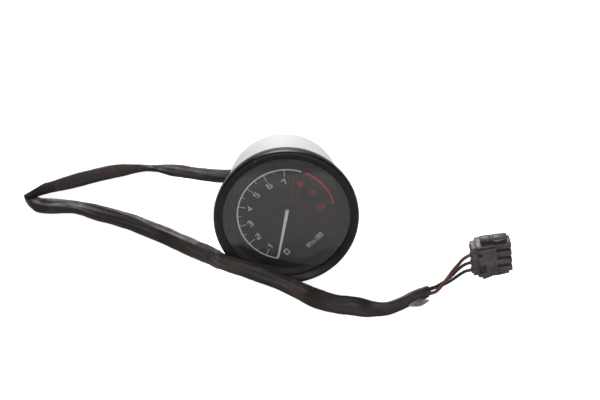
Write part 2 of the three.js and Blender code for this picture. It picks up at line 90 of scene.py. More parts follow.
# ---- Materials ----------------------------------------------------------------------------
class Finish:
    """A material with one Principled node and short helpers for what feeds it."""

    def __init__(self, name):
        self.mat = bpy.data.materials.new(name)
        self.mat.use_nodes = True
        self.nt = self.mat.node_tree
        self.nt.nodes.clear()
        self.out = self.nt.nodes.new("ShaderNodeOutputMaterial")
        self.bsdf = self.nt.nodes.new("ShaderNodeBsdfPrincipled")
        self.link(self.bsdf.outputs[0], self.out.inputs["Surface"])
        self.place = self.nt.nodes.new("ShaderNodeTexCoord").outputs["Object"]

    def link(self, a, b):
        self.nt.links.new(a, b)

    def set(self, **values):
        for name, value in values.items():
            self.bsdf.inputs[name.replace("_", " ")].default_value = value
        return self

    def noise(self, scale, detail=4.0, rough=0.55, stretch=None):
        n = self.nt.nodes.new("ShaderNodeTexNoise")
        n.inputs["Scale"].default_value = scale
        n.inputs["Detail"].default_value = detail
        n.inputs["Roughness"].default_value = rough
        place = self.place
        if stretch:
            m = self.nt.nodes.new("ShaderNodeMapping")
            m.inputs["Scale"].default_value = stretch
            self.link(place, m.inputs["Vector"])
            place = m.outputs[0]
        self.link(place, n.inputs["Vector"])
        return n.outputs["Fac"]

    def remap(self, value, low, high, to_low=0.0, to_high=1.0):
        n = self.nt.nodes.new("ShaderNodeMapRange")
        n.interpolation_type = "SMOOTHSTEP"
        for i, x in enumerate((low, high, to_low, to_high), start=1):
            n.inputs[i].default_value = x
        self.link(value, n.inputs[0])
        return n.outputs[0]

    def mix(self, factor, a, b):
        n = self.nt.nodes.new("ShaderNodeMix")
        n.data_type = "RGBA"
        for socket, value in ((n.inputs[0], factor), (n.inputs[6], a), (n.inputs[7], b)):
            if isinstance(value, bpy.types.NodeSocket):
                self.link(value, socket)
            elif socket == n.inputs[0]:
                socket.default_value = value
            else:
                socket.default_value = (*value, 1)
        return n.outputs[2]

    def math(self, operation, a, b):
        n = self.nt.nodes.new("ShaderNodeMath")
        n.operation = operation
        for socket, value in zip(n.inputs, (a, b)):
            if isinstance(value, bpy.types.NodeSocket):
                self.link(value, socket)
            else:
                socket.default_value = value
        return n.outputs[0]

    def colour(self, value):
        self.link(value, self.bsdf.inputs["Base Color"])
        return self

    def roughness(self, value):
        self.link(value, self.bsdf.inputs["Roughness"])
        return self

    def bump(self, *heights, distance=0.0001):
        """Each height is (socket, strength); they are stacked."""
        normal = None
        for value, strength in heights:
            n = self.nt.nodes.new("ShaderNodeBump")
            n.inputs["Strength"].default_value = strength
            n.inputs["Distance"].default_value = distance
            self.link(value, n.inputs["Height"])
            if normal is not None:
                self.link(normal, n.inputs["Normal"])
            normal = n.outputs[0]
        self.link(normal, self.bsdf.inputs["Normal"])
        return self


def worn(name, low, high, rough, patch=60, grain=900, bump=0.15, dust=None, dust_amount=0.0, **sockets):
    """The usual finish: colour that varies in patches, uneven gloss, a fine grain, and dust
    in small spots."""
    f = Finish(name)
    patches = f.remap(f.noise(patch, 5), 0.3, 0.7)
    base = f.mix(patches, low, high)
    if dust:
        specks = f.remap(f.noise(grain * 0.55, 3), 0.6, 0.72, 0, dust_amount)
        film = f.remap(f.noise(patch * 2.3, 4), 0.45, 0.75, 0, dust_amount)
        base = f.mix(f.math("MAXIMUM", specks, film), base, dust)
    f.colour(base)
    f.roughness(f.remap(f.noise(patch * 1.7, 5), 0.3, 0.7, rough[0], rough[1]))
    f.bump((f.noise(grain, 3), bump), (f.noise(patch * 3, 3), bump * 0.5))
    f.set(**sockets)
    return f


BLACK_DUST = (0.16, 0.145, 0.135)
MATS = {}


def lacquer():
    """Gloss black on the bezel, with orange peel, fine rub marks and a few small chips."""
    f = worn("gloss_black", (0.004, 0.004, 0.0044), (0.0065, 0.0065, 0.007), (0.32, 0.44),
             patch=45, grain=420, bump=0.015, dust=BLACK_DUST, dust_amount=0.05,
             Specular_IOR_Level=0.4)
    base = f.bsdf.inputs["Base Color"].links[0].from_socket
    chips = f.remap(f.noise(310, 2, stretch=(1, 1, 0.45)), 0.69, 0.73)
    rubs = f.remap(f.noise(150, 6, rough=0.7, stretch=(1, 1, 0.25)), 0.62, 0.72, 0, 0.5)
    f.colour(f.mix(f.math("MAXIMUM", chips, rubs), base, (0.1, 0.1, 0.103)))
    return f


def sleeving():
    """Soft black PVC tube: satin, dusty brown in the hollows, with fine cross creases."""
    f = Finish("sleeve_pvc")
    patches = f.remap(f.noise(38, 5), 0.32, 0.68)
    base = f.mix(patches, (0.019, 0.0148, 0.0138), (0.049, 0.0378, 0.0345))
    brown = f.remap(f.noise(55, 6, rough=0.65), 0.5, 0.72, 0, 0.75)
    base = f.mix(brown, base, (0.1, 0.072, 0.063))
    dust = f.remap(f.noise(700, 4), 0.62, 0.74, 0, 0.35)
    f.colour(f.mix(dust, base, BLACK_DUST))
    f.roughness(f.remap(f.noise(80, 5), 0.3, 0.7, 0.44, 0.62))
    f.bump((f.noise(230, 4), 0.22), (f.noise(90, 3), 0.35), (f.noise(1500, 2), 0.12), distance=0.0004)
    f.set(Specular_IOR_Level=0.5)
    return f


def moulded(name, low, high):
    """Glass-filled nylon with a spark-eroded grain."""
    f = worn(name, low, high, (0.38, 0.56), patch=130, grain=2600, bump=0.3,
             dust=BLACK_DUST, dust_amount=0.35)
    return f


def ink(name, low, high):
    return worn(name, low, high, (0.5, 0.65), patch=500, grain=2500, bump=0.2)


def glass():
    """A flat acrylic lens: clear, mirroring a little on its front, with a film of fine dust."""
    f = Finish("clear")
    nt = f.nt
    f.nt.nodes.remove(f.bsdf)
    clear = nt.nodes.new("ShaderNodeBsdfTransparent")
    clear.inputs["Color"].default_value = (0.96, 0.957, 0.953, 1)
    mirror = nt.nodes.new("ShaderNodeBsdfGlossy")
    f.link(f.remap(f.noise(90, 5), 0.3, 0.7, 0.03, 0.09), mirror.inputs["Roughness"])
    fresnel = nt.nodes.new("ShaderNodeFresnel")
    fresnel.inputs["IOR"].default_value = 1.49
    mixed = nt.nodes.new("ShaderNodeMixShader")
    f.link(fresnel.outputs[0], mixed.inputs[0])
    f.link(clear.outputs[0], mixed.inputs[1])
    f.link(mirror.outputs[0], mixed.inputs[2])
    film = nt.nodes.new("ShaderNodeBsdfDiffuse")
    film.inputs["Color"].default_value = (0.6, 0.57, 0.55, 1)
    dusty = nt.nodes.new("ShaderNodeMixShader")
    haze = f.remap(f.noise(45, 4, rough=0.5), 0.3, 0.75, 0.002, 0.008)
    specks = f.remap(f.noise(1300, 2), 0.73, 0.79, 0, 0.03)
    f.link(f.math("MAXIMUM", haze, specks), dusty.inputs[0])
    f.link(mixed.outputs[0], dusty.inputs[1])
    f.link(film.outputs[0], dusty.inputs[2])
    f.link(dusty.outputs[0], f.out.inputs["Surface"])
    return f


def make_materials():
    MATS["gloss_black"] = lacquer()
    MATS["matt_black"] = worn("matt_black", (0.0085, 0.0068, 0.0071), (0.0115, 0.0095, 0.0098),
                              (0.56, 0.62), patch=40, grain=1800, bump=0.02)
    MATS["clear"] = glass()
    MATS["rubber_black"] = worn("rubber_black", (0.012, 0.012, 0.012), (0.022, 0.021, 0.02),
                                (0.62, 0.8), grain=1200, bump=0.25, dust=BLACK_DUST, dust_amount=0.4)
    MATS["pale_plastic"] = worn("pale_plastic", (0.935, 0.93, 0.92), (0.965, 0.96, 0.955),
                                (0.4, 0.55), patch=35, grain=1500, bump=0.08,
                                dust=(0.6, 0.57, 0.52), dust_amount=0.08)
    MATS["pointer_cream"] = worn("pointer_cream", (0.87, 0.85, 0.81), (0.94, 0.92, 0.88),
                                 (0.4, 0.55), patch=300, grain=1600, bump=0.1)
    MATS["steel"] = worn("steel", (0.42, 0.42, 0.41), (0.6, 0.59, 0.56), (0.26, 0.45),
                         patch=220, grain=1400, bump=0.2, dust=(0.2, 0.13, 0.07),
                         dust_amount=0.3, Metallic=1.0)
    MATS["magnet_grey"] = worn("magnet_grey", (0.05, 0.05, 0.055), (0.08, 0.08, 0.085), (0.5, 0.65))
    MATS["brass"] = worn("brass", (0.55, 0.36, 0.12), (0.72, 0.5, 0.2), (0.25, 0.42),
                         patch=260, grain=1500, Metallic=1.0)
    MATS["copper_wire"] = worn("copper_wire", (0.5, 0.17, 0.06), (0.66, 0.25, 0.1), (0.3, 0.45),
                               patch=300, grain=1500, Metallic=0.9)
    MATS["natural_plastic"] = worn("natural_plastic", (0.6, 0.55, 0.42), (0.68, 0.64, 0.52), (0.45, 0.6))
    MATS["board_green"] = worn("board_green", (0.02, 0.11, 0.035), (0.03, 0.16, 0.05), (0.3, 0.45))
    MATS["black_plastic"] = moulded("black_plastic", (0.012, 0.012, 0.0125), (0.02, 0.02, 0.021))
    MATS["capacitor_blue"] = worn("capacitor_blue", (0.02, 0.045, 0.17), (0.03, 0.06, 0.22), (0.3, 0.4))
    MATS["resistor_tan"] = worn("resistor_tan", (0.6, 0.44, 0.24), (0.68, 0.52, 0.3), (0.5, 0.6))
    MATS["sleeve_pvc"] = sleeving()
    MATS["wire_brown"] = worn("wire_brown", (0.095, 0.03, 0.017), (0.18, 0.06, 0.035),
                              (0.32, 0.46), patch=160, grain=900, bump=0.12,
                              dust=BLACK_DUST, dust_amount=0.2)
    MATS["wire_black"] = worn("wire_black", (0.011, 0.009, 0.008), (0.022, 0.017, 0.014),
                              (0.32, 0.46), patch=160, grain=900, bump=0.12,
                              dust=BLACK_DUST, dust_amount=0.2)
    MATS["wire_grey"] = worn("wire_grey", (0.017, 0.021, 0.017), (0.03, 0.036, 0.03),
                             (0.3, 0.44), patch=160, grain=900, bump=0.12,
                             dust=BLACK_DUST, dust_amount=0.2)
    MATS["connector_black"] = moulded("connector_black", (0.056, 0.049, 0.051), (0.118, 0.104, 0.109))
    # painted reflection: this pale grey stands in for the light the glossy cut face of the black sleeve mirrors
    MATS["sleeve_cut_painted_sheen"] = worn("sleeve_cut_painted_sheen", (0.13, 0.125, 0.125), (0.4, 0.39, 0.39), (0.22, 0.4),
                              patch=190, grain=900, bump=0.2, dust=BLACK_DUST, dust_amount=0.3)
    MATS["ink_white"] = ink("ink_white", (0.66, 0.65, 0.64), (0.76, 0.75, 0.74))
    MATS["well_grey"] = worn("well_grey", (0.032, 0.028, 0.0285), (0.05, 0.044, 0.045),
                             (0.5, 0.62), patch=60, grain=1800, bump=0.08)
    MATS["ink_red"] = ink("ink_red", (0.36, 0.02, 0.018), (0.46, 0.035, 0.03))
    MATS["ink_dim_red"] = ink("ink_dim_red", (0.11, 0.035, 0.026), (0.16, 0.05, 0.038))


make_materials()


# ---- Mesh helpers -------------------------------------------------------------------------
def publish(name, bm, mat, matrix, body="root", replaces=(), sharp=38):
    """Turns a bmesh in some millimetre frame into a finished piece on a body."""
    bmesh.ops.remove_doubles(bm, verts=bm.verts, dist=1e-5)
    bmesh.ops.recalc_face_normals(bm, faces=bm.faces)
    bm.transform(matrix)
    me = bpy.data.meshes.new(name)
    bm.to_mesh(me)
    bm.free()
    me.shade_smooth()
    me.set_sharp_from_angle(angle=math.radians(sharp))
    me.materials.append(MATS[mat].mat)
    obj = bpy.data.objects.new(name, me)
    bpy.context.scene.collection.objects.link(obj)
    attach(obj, body)
    if replaces:
        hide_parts(*([replaces] if isinstance(replaces, str) else replaces))
    return obj


def rounded(points, radius, steps=3, keep=()):
    """A closed or open outline with its corners turned into small arcs."""
    out = []
    n = len(points)
    for i, p in enumerate(points):
        p = Vector(p)
        a, b = Vector(points[i - 1]), Vector(points[(i + 1) % n])
        if i in keep or (p - a).length < 1e-6 or (b - p).length < 1e-6:
            out.append(tuple(p))
            continue
        cut = min(radius, (p - a).length * 0.45, (b - p).length * 0.45)
        start, end = p + (a - p).normalized() * cut, p + (b - p).normalized() * cut
        for k in range(steps + 1):
            t = k / steps
            out.append(tuple(start * (1 - t) ** 2 + p * 2 * t * (1 - t) + end * t * t))
    return out


def lathe(profile, steps=128, radius=0.0, centre=(0, 0), bm=None):
    """A profile of (r, z) points, closed back on itself, turned about Z. Points on the
    axis make poles."""
    bm = bm or bmesh.new()
    axis = {i for i, (r, _) in enumerate(profile) if r < 1e-6}
    if radius:
        profile = rounded(profile, radius, keep=axis)
    rings = []
    for r, z in profile:
        if r < 1e-6:
            rings.append([bm.verts.new((centre[0], centre[1], z))])
        else:
            rings.append([
                bm.verts.new((centre[0] + r * math.cos(a), centre[1] + r * math.sin(a), z))
                for a in (2 * math.pi * k / steps for k in range(steps))
            ])
    n = len(rings)
    for i in range(n):
        one, two = rings[i], rings[(i + 1) % n]
        if len(one) == 1 and len(two) == 1:
            continue
        for k in range(steps):
            m = (k + 1) % steps
            if len(one) == 1:
                bm.faces.new((one[0], two[m], two[k]))
            elif len(two) == 1:
                bm.faces.new((one[k], one[m], two[0]))
            else:
                bm.faces.new((one[k], one[m], two[m], two[k]))
    return bm


def prism(outline, back, front, bevel=0.0, segments=2, bm=None):
    """A flat outline of (x, y), thickened from back to front along Z, edges eased."""
    own = bmesh.new()
    low = [own.verts.new((x, y, back)) for x, y in outline]
    high = [own.verts.new((x, y, front)) for x, y in outline]
    n = len(outline)
    own.faces.new(low[::-1])
    own.faces.new(high)
    for i in range(n):
        own.faces.new((low[i], low[(i + 1) % n], high[(i + 1) % n], high[i]))
    ease(own, bevel, segments)
    return merged(bm, own)


def box(low, high, bevel=0.0, segments=2, bm=None):
    return prism(
        [(low[0], low[1]), (high[0], low[1]), (high[0], high[1]), (low[0], high[1])],
        low[2], high[2], bevel, segments, bm,
    )


def ease(bm, width, segments=2, least=30):
    if width <= 0:
        return
    bm.normal_update()
    edges = [
        e for e in bm.edges
        if len(e.link_faces) == 2 and e.calc_face_angle(0) > math.radians(least)
    ]
    bmesh.ops.bevel(bm, geom=edges, offset=width, segments=segments, profile=0.5,
                    affect="EDGES", clamp_overlap=True)


def merged(bm, own):
    """Adds one bmesh to another, or starts with it."""
    if bm is None:
        return own
    me = bpy.data.meshes.new("scratch")
    own.to_mesh(me)
    own.free()
    bm.from_mesh(me)
    bpy.data.meshes.remove(me)
    return bm


def polar(r, degrees):
    a = math.radians(degrees)
    return r * math.cos(a), r * math.sin(a)


def loft(loops, bm=None):
    """Skins closed loops of points, all with the same count, and closes both ends."""
    own = bmesh.new()
    rings = [[own.verts.new(p) for p in loop] for loop in loops]
    for one, two in zip(rings, rings[1:]):
        for k in range(len(one)):
            m = (k + 1) % len(one)
            own.faces.new((one[k], one[m], two[m], two[k]))
    own.faces.new(rings[0][::-1])
    own.faces.new(rings[-1])
    return merged(bm, own)


def soft_block(sections, centre_z=0.0, bm=None):
    """A block along X from sections of (x, half y, half z, corner radius)."""
    return loft([
        [(x, y, centre_z + z) for y, z in rounded([(-w, -h), (w, -h), (w, h), (-w, h)], r, 4)]
        for x, w, h, r in sections
    ], bm)


def circle(r, steps=40, centre=(0, 0)):
    turned = (polar(r, 360 * k / steps) for k in range(steps))
    return [(centre[0] + x, centre[1] + y) for x, y in turned]


def pipe(sections, centre, bm=None):
    """A turned piece along X from sections of (x, radius)."""
    return loft([[(x, y, z) for y, z in circle(r, 28, centre)] for x, r in sections], bm)


def perforated(outline, holes, back, front):
    """A flat plate across Z with round holes, each (radius, centre)."""
    own = bmesh.new()
    rounds = [circle(r, 40, centre) for r, centre in holes]
    rims = []
    for z in (back, front):
        loops = [[own.verts.new((x, y, z)) for x, y in line] for line in (outline, *rounds)]
        edges = [own.edges.new((lp[k - 1], lp[k])) for lp in loops for k in range(len(lp))]
        bmesh.ops.triangle_fill(own, use_beauty=True, edges=edges, normal=(0, 0, 1))
        rims.append(loops)
    for one, two in zip(*rims):
        for k in range(len(one)):
            own.faces.new((one[k - 1], one[k], two[k], two[k - 1]))
    return own


# ---- Cords --------------------------------------------------------------------------------
SLEEVE_ROUTE = [
    (-17, 30.8, 31.3), (-17.6, 37, 30.1), (-20, 45, 28), (-28, 55.2, 25), (-42, 63.3, 19.8),
    (-60, 75.8, 14), (-79, 90, 8.5), (-97, 98.3, 5.4), (-116, 96.3, 5), (-136, 89.6, 5),
    (-155, 81.2, 5), (-166.5, 76, 5.2), (-177.5, 70.3, 5.4), (-180.6, 63, 5.4),
    (-175, 55.2, 5.4), (-165.5, 52, 5.2), (-148, 51, 5), (-128, 42, 5), (-108, 31, 5),
    (-83, 13.5, 5), (-63, -3, 5.4), (-50.5, -18.5, 9.8), (-47.6, -27, 14.2), (-45.5, -35, 18.6),
    (-42.5, -41.2, 21.6), (-36.5, -44.2, 21), (-28, -46.2, 18.7), (-16, -48.4, 14.6),
    (-4, -50.8, 10.3), (8, -55.4, 6.8), (20, -63.2, 5.2), (32.5, -68.6, 5), (45, -71.4, 4.9),
    (54, -74.2, 4.9), (64, -73.8, 4.8), (73, -69.3, 4.8), (81.5, -63.4, 4.8), (92, -57.2, 4.8),
]
# How far the flat tube is turned from facing the reader, in degrees, at each point.
SLEEVE_TURN = [
    40, 40, 42, 45, 48, 48, 52, 90, 130, 138, 133, 122, 130, 132, 136, 146, 134, 152, 155,
    165, 165, 168, 180, 195, 204, 204, 204, 200, 190, 180, 180, 192, 188, 210, 228, 232,
    238, 242,
]
# Half its width and half its thickness, in millimetres.
SLEEVE_HALF = [
    (4.6, 4.0), (4.8, 3.9), (5.2, 3.5), (5.9, 3.3), (6.3, 3.2), (6.0, 2.6), (6.0, 2.6),
    (5.4, 2.3), (6.0, 2.6), (6.1, 2.7), (6.1, 2.7), (5.8, 2.5), (6.6, 2.5), (6.9, 2.4),
    (6.7, 2.5), (6.2, 2.6), (6.0, 2.5), (6.1, 2.7), (6.0, 2.7), (6.2, 2.7), (6.2, 2.8),
    (6.1, 2.8), (6.0, 2.8), (5.9, 2.8), (5.8, 2.8), (5.8, 2.8), (5.8, 2.8), (5.7, 2.8),
    (5.2, 2.4), (6.1, 2.9), (6.3, 3.0), (6.3, 3.0), (6.3, 2.9), (6.1, 2.8), (5.9, 2.8),
    (5.9, 2.9), (5.6, 3.0), (5.3, 3.1),
]
WIRE_ROUTES = {
    "lead_brown": [
        (93.3, -58.5, 3.8), (98.4, -57, 5.1), (104, -52.3, 8.9), (109, -46, 11.6),
        (113.4, -42.3, 14.6), (117.4, -39.5, 17.6), (122.4, -37.9, 19.9),
    ],
    "lead_black": [
        (92.5, -57, 6.7), (98, -54, 6.3), (104, -49, 6.3), (109.8, -43.7, 7.6), (114.4, -40.8, 10.4),
        (118.7, -39, 12.7), (123.2, -37.9, 13.6),
    ],
    "lead_grey": [
        (91.4, -55.5, 4.2), (97, -52, 3.6), (103.5, -48.4, 3.4), (110.3, -43.6, 3.9), (114.9, -41, 5.6),
        (119.3, -38.7, 6.8), (124, -37.9, 7.3),
    ],
}
WIRE_R = 1.15


def smooth_run(rows, spacing):
    """Catmull-Rom through rows of numbers whose first three are a place, resampled evenly
    along its length."""
    rows = [list(r) for r in rows]
    ends = [
        [2 * a - b for a, b in zip(rows[0], rows[1])],
        *rows,
        [2 * a - b for a, b in zip(rows[-1], rows[-2])],
    ]
    dense = []
    per = 24
    for i in range(len(rows) - 1):
        p = ends[i:i + 4]
        for k in range(per + (i == len(rows) - 2)):
            t = k / per
            dense.append([
                0.5 * (2 * b + (c - a) * t + (2 * a - 5 * b + 4 * c - d) * t * t
                       + (3 * b - a - 3 * c + d) * t ** 3)
                for a, b, c, d in zip(*p)
            ])
    along = [0.0]
    for a, b in zip(dense, dense[1:]):
        along.append(along[-1] + math.dist(a[:3], b[:3]))
    count = max(2, round(along[-1] / spacing))
    out, j = [], 0
    for i in range(count + 1):
        want = along[-1] * i / count
        while j < len(along) - 2 and along[j + 1] < want:
            j += 1
        t = (want - along[j]) / (along[j + 1] - along[j])
        out.append([a + (b - a) * t for a, b in zip(dense[j], dense[j + 1])])
    return out, along[-1]


def tangents(points):
    n = len(points)
    return [
        (points[min(i + 1, n - 1)] - points[max(i - 1, 0)]).normalized() for i in range(n)
    ]


FACING = VIEW_ALONG
FLOOR_GAP = 0.15
ROUND = 2.5  # how square the flattened section is
LYING_BELOW = (5.4, 6.8)  # the sleeve rests on the table where its middle is this low
WIRE_RIDGES = ((-0.48, 23), (0.02, 31), (0.5, 19))  # where each lies across, how fast it wanders
SLEEVE_WALL = 0.62
# The straight crease of the fold and the straight edge that runs up to it: a place on each
# and the way out of the fold.
FOLD_PLANES = (
    (Vector((-185, 64.7, 0)), Vector((-0.82, -0.57, 0)).normalized()),
    (Vector((-184.6, 65.7, 6)), Vector((-0.49, 0.44, 0.755)).normalized()),
)
FOLD_END_X = -165.0


def smoothstep(low, high, x):
    t = min(1.0, max(0.0, (x - low) / (high - low)))
    return t * t * (3 - 2 * t)


def sleeve():
    rows = [
        (*p, turn, *half) for p, turn, half in zip(SLEEVE_ROUTE, SLEEVE_TURN, SLEEVE_HALF)
    ]
    run, length = smooth_run(rows, 1.25)
    centres = [Vector(r[:3]) for r in run]
    ways = tangents(centres)
    sides = 44
    bm = bmesh.new()
    rings, path = [], []
    for i, (c, way, row) in enumerate(zip(centres, ways, run)):
        s = length * i / (len(run) - 1)
        turn, half_w, half_t = math.radians(row[3]), row[4], row[5]
        facing = way.cross(FACING).normalized()
        across = facing * math.cos(turn) + way.cross(facing) * math.sin(turn)
        thick = way.cross(across)
        reach = math.hypot(half_w * across.z, half_t * thick.z)
        on_ground = 1 - smoothstep(*LYING_BELOW, c.z)
        drop = c.z - reach - FLOOR_GAP
        c = c - Vector((0, -1.2, 1)) * drop * 0.9 * on_ground
        path.append(c)
        ring = []
        for k in range(sides):
            a = 2 * math.pi * k / sides
            ca, sa = math.cos(a), math.sin(a)
            u = math.copysign(abs(ca) ** (2 / ROUND), ca)
            v = math.copysign(abs(sa) ** (2 / ROUND), sa)
            bulge = sum(
                math.exp(-(((u - at - 0.18 * math.sin(s / w)) / 0.17) ** 2))
                for at, w in WIRE_RIDGES
            )
            v *= 0.86 + 0.2 * bulge * abs(sa)
            p = c + across * half_w * u + thick * half_t * v
            dent = noise.noise(Vector((s / 13, u * 0.9, v * 0.9))) * 0.5
            dent += noise.noise(Vector((s / 4.2, u * 2 + 7, v * 2))) * 0.16
            p += (p - c).normalized() * dent
            if p.x < FOLD_END_X:
                for place, out in FOLD_PLANES:
                    p -= out * max(0.0, (p - place).dot(out))
            p.z = max(p.z, FLOOR_GAP)
            ring.append(p)
        rings.append(ring)
    verts = [[bm.verts.new(p) for p in ring] for ring in rings]
    for one, two in zip(verts, verts[1:]):
        for k in range(sides):
            m = (k + 1) % sides
            bm.faces.new((one[k], one[m], two[m], two[k]))
    # closed where it enters the gauge, and hollow for a little way at its cut end
    bm.faces.new(verts[0][::-1])
    inner = []
    for back in (0, 3, 6, 9):
        i = len(rings) - 1 - back
        centre = sum(rings[i], Vector()) / sides
        inner.append([
            bm.verts.new(p + (centre - p).normalized() * min(SLEEVE_WALL, (centre - p).length * 0.3))
            for p in rings[i]
        ])
    for one, two in zip([verts[-1], *inner], inner):
        for k in range(sides):
            m = (k + 1) % sides
            bm.faces.new((one[k], one[m], two[m], two[k]))
    bm.faces.new(inner[-1])
    obj = publish("sleeve", bm, "sleeve_pvc", WORLD_MM, replaces="harness_sleeve", sharp=60)
    return obj, path


def wire(name, route, node, colour):
    inside = Vector(route[0]) - (Vector(route[1]) - Vector(route[0])).normalized() * 5
    rows = [tuple(inside), *route]
    end = Vector(route[-1]) + PLUG_FRAME.to_3x3() @ Vector((2.4, 0, 0)) / MM
    rows.append(tuple(end))
    run, length = smooth_run(rows, 0.6)
    centres = [Vector(r[:3]) for r in run]
    ways = tangents(centres)
    sides = 16
    bm = bmesh.new()
    side = ways[0].cross(Vector((0, 0, 1))).normalized()
    rings = []
    for c, way in zip(centres, ways):
        side = (side - way * side.dot(way)).normalized()
        other = way.cross(side)
        rings.append([
            bm.verts.new(c + side * x * WIRE_R + other * y * WIRE_R)
            for x, y in (polar(1, 360 * k / sides) for k in range(sides))
        ])
    for one, two in zip(rings, rings[1:]):
        for k in range(sides):
            m = (k + 1) % sides
            bm.faces.new((one[k], one[m], two[m], two[k]))
    bm.faces.new(rings[0][::-1])
    bm.faces.new(rings[-1])
    obj = publish(name, bm, colour, WORLD_MM, replaces=node, sharp=50)
    return obj, centres, length


def flap():
    """The glossy tongue left where the end of the sleeve was slit, coloured pale grey as a painted reflection of
    the bright room on its black PVC.
    """
    upper = [(76, -67.6, 5.2), (80, -66.3, 5.8), (84.5, -64.9, 5.4), (88.5, -63.9, 4.1), (92.6, -63.0, 2.2)]
    lower = [(76, -69.2, 3.4), (80.5, -69.2, 2.2), (86, -68.0, 1.3), (89.6, -65.8, 1.3), (92.8, -63.4, 1.8)]
    top = [Vector(r[:3]) for r in smooth_run(upper, 0.9)[0]]
    count = len(top)
    low_run = smooth_run(lower, 0.4)[0]
    low = [Vector(low_run[round(i * (len(low_run) - 1) / (count - 1))][:3]) for i in range(count)]
    across = 7
    outward = Vector((0.1, -0.62, 0.78))
    bm = bmesh.new()
    sheets = []
    for lift in (0.0, -0.6):
        sheet = []
        for i in range(count):
            row = []
            for k in range(across):
                t = k / (across - 1)
                bulge = 0.8 * math.sin(math.pi * t) * (1 - i / (count - 1))
                curl = 0.35 * math.sin(i * 0.7 + t * 2)
                row.append(bm.verts.new(top[i].lerp(low[i], t) + outward * (bulge + curl * 0.4 + lift)))
            sheet.append(row)
        sheets.append(sheet)
    for sheet in sheets:
        for i in range(count - 1):
            for k in range(across - 1):
                bm.faces.new((sheet[i][k], sheet[i + 1][k], sheet[i + 1][k + 1], sheet[i][k + 1]))
    one, two = sheets
    rim = [(i, 0) for i in range(count)] + [(count - 1, k) for k in range(1, across)]
    rim += [(i, across - 1) for i in range(count - 2, -1, -1)] + [(0, k) for k in range(across - 2, 0, -1)]
    for (a, b), (c, d) in zip(rim, rim[1:] + rim[:1]):
        bm.faces.new((one[a][b], one[c][d], two[c][d], two[a][b]))
    publish("sleeve_flap", bm, "sleeve_cut_painted_sheen", WORLD_MM, sharp=60)


flap()
sleeve_obj, sleeve_path = sleeve()
wires = {
    name: wire(name, WIRE_ROUTES[name], node, colour)
    for name, node, colour in (
        ("lead_brown", "wire_brown", "wire_brown"),
        ("lead_black", "wire_black", "wire_black"),
        ("lead_grey", "wire_grey", "wire_grey"),
    )
}


# ---- Gauge --------------------------------------------------------------------------------
DIAL_Z = -7.3
DIAL_PRINT = 0.04


def case():
    publish("bezel_shell", lathe([
        (42, -1.95), (42, -1.5), (45.7, -0.1), (46.4, 0), (47.3, -0.5), (47.8, -1.4),
        (48, -2.6), (48, -5.6), (47.3, -7.6), (46.3, -9.6), (45.9, -13.2), (45.3, -13.6),
        (42.9, -13.6), (42.9, -12.6), (44.9, -12.6), (44.9, -1.95),
    ], steps=224, radius=0.5), "gloss_black", DIAL_FRAME, replaces="bezel_ring", sharp=50)
    publish("lens_glass", lathe([
        (0, -3.8), (44.6, -3.8), (44.6, -2.2), (0, -2.2),
    ], steps=160, radius=0.15), "clear", DIAL_FRAME, replaces="lens")
    publish("well_wall", lathe([
        (38.5, -7), (44.6, -7), (44.6, -5), (42.2, -5), (42.2, -4.1), (41.8, -4.1),
    ], steps=192, radius=0.08), "well_grey", DIAL_FRAME, replaces="dial_well")
    publish("dial_face", lathe([
        (2.2, -8.1), (44.6, -8.1), (44.6, DIAL_Z), (2.2, DIAL_Z),
    ], steps=160), "matt_black", DIAL_FRAME, replaces="dial_plate")
    publish("stop_peg", lathe([
        (0, -7), (0.7, -7), (0.7, -5.3), (0, -5.3),
    ], steps=24, radius=0.25, centre=polar(16.7, -61)), "matt_black", DIAL_FRAME,
        replaces="pointer_stop")


def needle():
    rest = math.radians(214.4)
    turn = Matrix.Rotation(rest, 4, "Z")
    tail, tip, tail_w, tip_w = 4.2, 31.3, 2.3, 1.2
    outline = rounded([
        (-tail, -tail_w / 2), (tip - 0.6, -tip_w / 2), (tip, -tip_w / 5), (tip, tip_w / 5),
        (tip - 0.6, tip_w / 2), (-tail, tail_w / 2),
    ], 0.3)
    bm = prism(outline, -5.9, -5.1)
    bm.normal_update()
    ease(bm, 0.16, 2, least=60)
    publish("needle", bm, "pointer_cream", DIAL_FRAME @ turn, body="pointer",
            replaces="pointer_bar", sharp=45)
    hub = lathe([
        (0, -6.35), (0.9, -6.35), (0.9, -7.15), (1.7, -7.15), (1.7, -6.6), (6.2, -6.6),
        (6.2, -6.3), (5.9, -6.2), (0, -6.2),
    ], steps=96, radius=0.12)
    publish("needle_hub", hub, "matt_black", DIAL_FRAME, body="pointer", replaces="pointer_hub")


